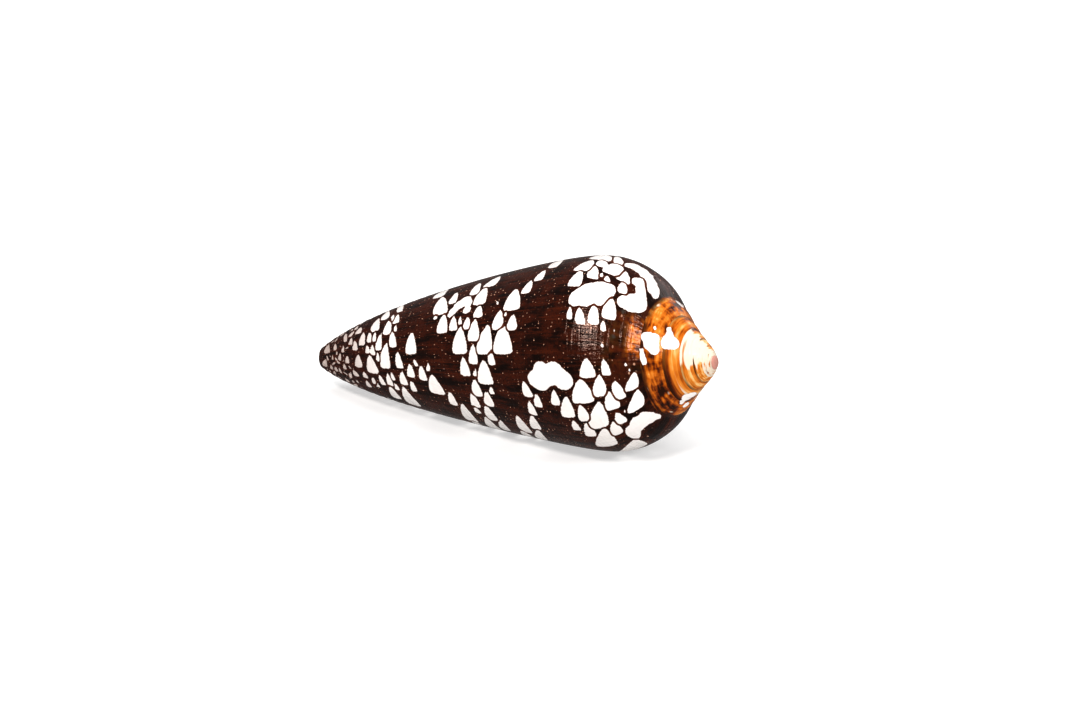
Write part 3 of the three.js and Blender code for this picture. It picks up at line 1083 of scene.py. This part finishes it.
layers = [share_of(f"tents_{number}") for number in range(LAYERS)]
pairs = [layers[:2], layers[2:]]
deeper = [calculate("MAXIMUM", *pair) for pair in pairs]
shallower = [calculate("MINIMUM", *pair) for pair in pairs]
deepest = calculate("MAXIMUM", *deeper)
next_deepest = calculate("MAXIMUM", calculate("MINIMUM", *deeper), calculate("MAXIMUM", *shallower))
between = ramped(calculate("SUBTRACT", deepest, next_deepest), BROWN_LINE - LINE_SOFT, BROWN_LINE + LINE_SOFT)
lone = ramped(next_deepest, TENT_EDGE - BROWN_LINE, TENT_EDGE - BROWN_LINE + LONE_SOFT, 1, 0)
waver = weighed(calculate("SUBTRACT", noise(*EDGE_NOISE), NOISE_MIDDLE), EDGE_WAVER)
edge_depth = calculate("ADD", deepest, waver)
inside_edge = ramped(edge_depth, TENT_EDGE - EDGE_SOFT, TENT_EDGE + EDGE_SOFT)
white = weighed(inside_edge, calculate("MAXIMUM", between, lone))
rim = ramped(edge_depth, TENT_EDGE - RIM_WIDE, TENT_EDGE, 0, RIM_SHARE)
front_white = layered(ramped(share_of("front"), *GREY_SHARES), WHITE, FRONT_GREY)
coloured = layered(rim, coloured, RIM)
coloured = layered(white, coloured, front_white)
coloured = layered(share_of("pink"), coloured, PINK)
coloured = layered(share_of("inside"), coloured, MOUTH_WHITE)
print("nodes so far:", len(tree.nodes))

# %% Gloss and fine relief
SHELL_IOR = 1.5
GLOSS_TINT = (1.0, 0.74, 0.64, 1)
GLOSS_NOISE = (8, 20)
GLOSS_STEPS = (0.3, 0.7)
GLOSS_ROUGH = (0.12, 0.25)
LINE_NOISE = (3, 22, 3, 0.6)
THREAD_NOISE = (20, 1.5)
LINE_DEPTH = 0.08 * MM

fine_relief = calculate("ADD", noise(*LINE_NOISE), noise(*THREAD_NOISE))
bump_strength = calculate("SUBTRACT", 1.0, share_of("inside"))
bump = add_node("ShaderNodeBump", {"Height": fine_relief, "Distance": LINE_DEPTH, "Strength": bump_strength})
finish = {
    "Base Color": coloured,
    "Normal": bump.outputs["Normal"],
    "Roughness": ramped(noise(*GLOSS_NOISE), *GLOSS_STEPS, *GLOSS_ROUGH),
    "IOR": SHELL_IOR,
    "Specular Tint": GLOSS_TINT,
}
set_inputs(tree.nodes["Principled BSDF"], finish)
mesh.materials.append(material)
print("nodes in the shell's finish:", len(tree.nodes))

# %% [markdown]
# ## Floor and light
# The photograph's shell lies on plain white with hardly a shadow, as on a light table. So the floor is pale
# and glows a little, which also lights the shell from below. A soft box overhead lights the floor, one in
# front lights the marks and makes the small highlight, one beyond the apex shines on the spire, and a faint
# one behind lights the far edge. A glossy shell would mirror all of that white and turn grey, so its gloss
# sees only the lamps that are meant to shine in it: the floor and the box overhead are hidden from mirrored
# rays, and the surroundings are dim. That keeps the brown deep.

# %% Floor
FLOOR_HALF = 3.0
FLOOR_DROP = 0.05 * MM
FLOOR_PALE = 0.45
FLOOR_GLOW = 0.6
FLOOR_ROUGH = 0.9
FLOOR_SIGNS = [(-1, -1), (1, -1), (1, 1), (-1, 1)]

floor_mesh = bpy.data.meshes.new("floor")
floor_corners = [(x * FLOOR_HALF, y * FLOOR_HALF, -FLOOR_DROP) for x, y in FLOOR_SIGNS]
floor_mesh.from_pydata(floor_corners, [], [(0, 1, 2, 3)])
floor = put_in_scene("floor", floor_mesh)
pale_floor = bpy.data.materials.new("pale_floor")
pale_floor.use_nodes = True
floor_finish = {
    "Base Color": (FLOOR_PALE, FLOOR_PALE, FLOOR_PALE, 1),
    "Roughness": FLOOR_ROUGH,
    "Specular IOR Level": 0,
    "Emission Color": (1, 1, 1, 1),
    "Emission Strength": FLOOR_GLOW,
}
set_inputs(pale_floor.node_tree.nodes["Principled BSDF"], floor_finish)
floor_mesh.materials.append(pale_floor)
floor.visible_glossy = False
print("floor in metres:", 2 * FLOOR_HALF, "square")

# %% Lights
SURROUND = 0.22
LAMPS_AIM = Vector((0, 0, 10 * MM))
PICTURE_GAMMA = 0.8

world = bpy.data.worlds.new("studio")
world.use_nodes = True
set_inputs(world.node_tree.nodes["Background"], {"Color": (1, 1, 1, 1), "Strength": SURROUND})
scene.world = world


def soft_box(name, place, wide, tall, power, colour=(1, 1, 1), mirrored=True):
    """An area light at a place, wide by tall, turned towards the shell's middle."""
    lamp = bpy.data.lights.new(name, "AREA")
    lamp.shape = "ELLIPSE"
    lamp.size, lamp.size_y = wide, tall
    lamp.energy = power
    lamp.color = colour
    holder = put_in_scene(name, lamp)
    holder.location = place
    holder.visible_glossy = mirrored
    holder.rotation_euler = (LAMPS_AIM - Vector(place)).to_track_quat("-Z", "Y").to_euler()


soft_box("overhead", place=(-0.15, 0.35, 1.0), wide=1.4, tall=1.2, power=12, mirrored=False)
soft_box("behind", place=(0.15, 0.9, 0.16), wide=0.6, tall=0.3, power=0.5)
soft_box("front", place=(0.03, -0.52, 0.637), wide=0.26, tall=0.18, power=5.4, colour=(1, 0.95, 0.92))
soft_box("beyond_apex", place=(0.67, 0.03, 0.44), wide=0.22, tall=0.22, power=2.4)
scene.view_settings.view_transform = "Standard"
scene.view_settings.gamma = PICTURE_GAMMA
